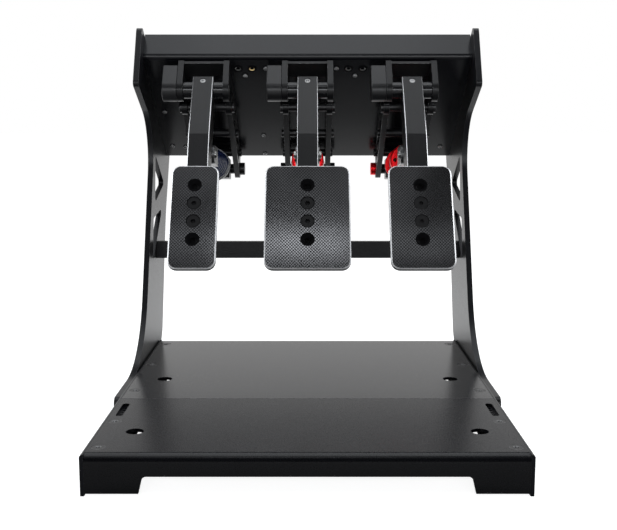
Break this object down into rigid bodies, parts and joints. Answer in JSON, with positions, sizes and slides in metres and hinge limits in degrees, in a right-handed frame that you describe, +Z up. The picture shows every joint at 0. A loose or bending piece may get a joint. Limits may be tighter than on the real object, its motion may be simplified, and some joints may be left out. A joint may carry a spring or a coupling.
{
  "type": "sim racing pedal set",
  "caption": "Hanging racing-simulator pedal set: floor tray, C-shaped uprights and a sloping deck that carries sprung clutch, brake and throttle pedals with push-rod spring units.",
  "frame": {"origin": "on the ground, in the middle of the set's width and depth", "axes": "+X to the driver's right, +Y away from the driver, +Z up"},
  "size_m": [0.3686, 0.5094, 0.3851],
  "materials": {
    "powder_black": "satin textured black powder coat",
    "anodised_black": "black anodised, machined, bright chamfers",
    "knurled_black": "black anodised diamond knurl with a bright rim",
    "hardware_black": "black oxide",
    "zinc_steel": "bright zinc plate",
    "anodised_red": "red anodised, gloss",
    "spring_navy": "navy blue powder coat, gloss",
    "spring_grey": "dark grey coat",
    "bumper_rubber": "black polyurethane",
    "case_plastic": "fine moulded grain",
    "board_green": "solder mask"
  },
  "bodies": {
    "frame": {"floor_front": "powder_black", "floor_rear": "powder_black", "base_cheek_left": "powder_black", "base_cheek_right": "powder_black", "upright_left": "powder_black", "upright_right": "powder_black", "pedal_deck": "powder_black", "rear_crossbar": "powder_black", "controller_case": "case_plastic", "circuit_boards": "board_green", "jack_sockets": "case_plastic", "floor_screws": "hardware_black", "upright_bolts": "hardware_black", "deck_screws": "hardware_black", "module_bolts": "hardware_black", "cross_spacers": "hardware_black", "spacer_screws": "hardware_black", "pivot_bushes": "hardware_black", "ear_bridges": "anodised_black", "trunnion_caps": "hardware_black", "throttle_trunnion_caps": "anodised_red", "clutch_side_plate_left": "anodised_black", "clutch_side_plate_right": "anodised_black", "clutch_sensor_housing": "case_plastic", "brake_side_plate_left": "anodised_black", "brake_side_plate_right": "anodised_black", "brake_sensor_housing": "case_plastic", "throttle_side_plate_left": "anodised_black", "throttle_side_plate_right": "anodised_black", "throttle_sensor_housing": "case_plastic"},
    "clutch_pedal": {"clutch_arm": "anodised_black", "clutch_pad": "knurled_black", "clutch_pivot_shaft": "zinc_steel", "clutch_arm_hardware": "zinc_steel"},
    "clutch_swivel": {"clutch_trunnion": "anodised_black", "clutch_spring_seat": "zinc_steel", "clutch_spring": "spring_navy"},
    "clutch_plunger": {"clutch_fork": "zinc_steel", "clutch_push_rod": "zinc_steel"},
    "clutch_adjuster": {"clutch_preload_collar": "zinc_steel"},
    "brake_pedal": {"brake_arm": "anodised_black", "brake_pad": "knurled_black", "brake_pivot_shaft": "zinc_steel", "brake_arm_hardware": "zinc_steel"},
    "brake_swivel": {"brake_trunnion": "anodised_black", "brake_load_cell": "zinc_steel", "brake_bumpers": "bumper_rubber"},
    "brake_plunger": {"brake_fork": "zinc_steel", "brake_push_rod": "zinc_steel"},
    "brake_adjuster": {"brake_preload_collar": "anodised_red"},
    "throttle_pedal": {"throttle_arm": "anodised_black", "throttle_pad": "knurled_black", "throttle_pivot_shaft": "zinc_steel", "throttle_arm_hardware": "zinc_steel"},
    "throttle_swivel": {"throttle_trunnion": "anodised_black", "throttle_spring_seat": "anodised_red", "throttle_spring": "spring_grey"},
    "throttle_plunger": {"throttle_fork": "zinc_steel", "throttle_push_rod": "zinc_steel"},
    "throttle_adjuster": {"throttle_preload_collar": "anodised_red"}
  },
  "joints": [
    {"name": "clutch_press", "type": "hinge", "parent": "frame", "child": "clutch_pedal", "pos_m": [-0.11, 0.06326, 0.32007], "axis": [1, 0, 0], "range_deg": [0, 15], "stiffness_Nm_per_rad": 19, "springref_deg": -9.17},
    {"name": "clutch_swing", "type": "hinge", "parent": "frame", "child": "clutch_swivel", "pos_m": [-0.11, 0.20983, 0.23089], "axis": [1, 0, 0], "range_deg": [-1, 1]},
    {"name": "clutch_plunge", "type": "slide", "parent": "clutch_swivel", "child": "clutch_plunger", "axis": [0, 0.9906, -0.1365], "range_m": [0, 0.0184], "deforming": ["clutch_spring"]},
    {"name": "clutch_preload", "type": "hinge", "parent": "clutch_plunger", "child": "clutch_adjuster", "pos_m": [-0.11, 0.10575, 0.24523], "axis": [0, 0.9906, -0.1365], "continuous": true},
    {"name": "brake_press", "type": "hinge", "parent": "frame", "child": "brake_pedal", "pos_m": [0, 0.06326, 0.32007], "axis": [1, 0, 0], "range_deg": [0, 6], "stiffness_Nm_per_rad": 300, "springref_deg": -1.15},
    {"name": "brake_swing", "type": "hinge", "parent": "frame", "child": "brake_swivel", "pos_m": [0, 0.20983, 0.23089], "axis": [1, 0, 0], "range_deg": [-1, 1]},
    {"name": "brake_plunge", "type": "slide", "parent": "brake_swivel", "child": "brake_plunger", "axis": [0, 0.9906, -0.1365], "range_m": [0, 0.0077], "deforming": ["brake_bumpers"]},
    {"name": "brake_preload", "type": "hinge", "parent": "brake_plunger", "child": "brake_adjuster", "pos_m": [0, 0.10575, 0.24523], "axis": [0, 0.9906, -0.1365], "continuous": true},
    {"name": "throttle_press", "type": "hinge", "parent": "frame", "child": "throttle_pedal", "pos_m": [0.11, 0.06326, 0.32007], "axis": [1, 0, 0], "range_deg": [0, 15], "stiffness_Nm_per_rad": 12, "springref_deg": -9.17},
    {"name": "throttle_swing", "type": "hinge", "parent": "frame", "child": "throttle_swivel", "pos_m": [0.11, 0.20983, 0.23089], "axis": [1, 0, 0], "range_deg": [-1, 1]},
    {"name": "throttle_plunge", "type": "slide", "parent": "throttle_swivel", "child": "throttle_plunger", "axis": [0, 0.9906, -0.1365], "range_m": [0, 0.0184], "deforming": ["throttle_spring"]},
    {"name": "throttle_preload", "type": "hinge", "parent": "throttle_plunger", "child": "throttle_adjuster", "pos_m": [0.11, 0.10575, 0.24523], "axis": [0, 0.9906, -0.1365], "continuous": true}
  ],
  "couplings": [
    {"joint": "clutch_swing", "follows": "clutch_press", "ratio": -0.026},
    {"joint": "clutch_plunge", "follows": "clutch_press", "m_per_rad": 0.0684},
    {"joint": "brake_swing", "follows": "brake_press", "ratio": 0.004},
    {"joint": "brake_plunge", "follows": "brake_press", "m_per_rad": 0.0684},
    {"joint": "throttle_swing", "follows": "throttle_press", "ratio": -0.026},
    {"joint": "throttle_plunge", "follows": "throttle_press", "m_per_rad": 0.0684}
  ]
}
